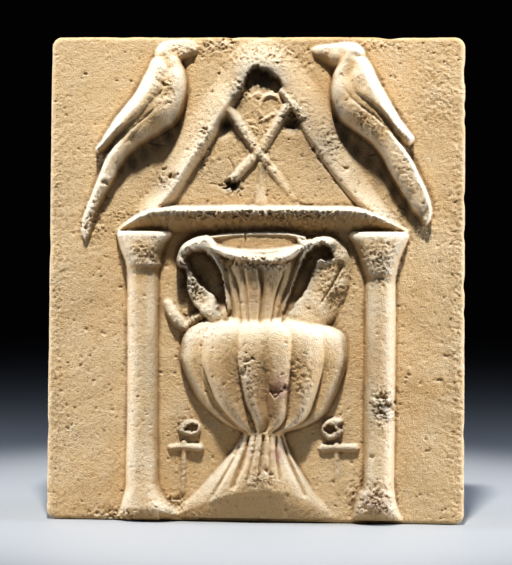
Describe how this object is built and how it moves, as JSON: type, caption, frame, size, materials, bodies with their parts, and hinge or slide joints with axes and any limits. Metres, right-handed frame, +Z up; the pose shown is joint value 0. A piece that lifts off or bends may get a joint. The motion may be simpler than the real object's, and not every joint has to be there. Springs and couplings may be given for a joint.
{
  "type": "relief tile",
  "caption": "Mould-pressed fired-clay relief tile: a ribbed two-handled vase under a pediment on columns, with a bird on each slope.",
  "frame": {"origin": "centre of the slab's lower edge face, on which the tile stands", "axes": "+Z up along the tile's height, -Y towards the viewer out of the relief, +X to the viewer's right"},
  "size_m": [0.276, 0.0661, 0.32],
  "materials": {
    "clay": "unglazed fired clay, matt and gritty, worn pale on the high relief, with brown dirt and soot in the hollows"
  },
  "bodies": {
    "root": {"relief_tile": "clay"}
  },
  "joints": []
}
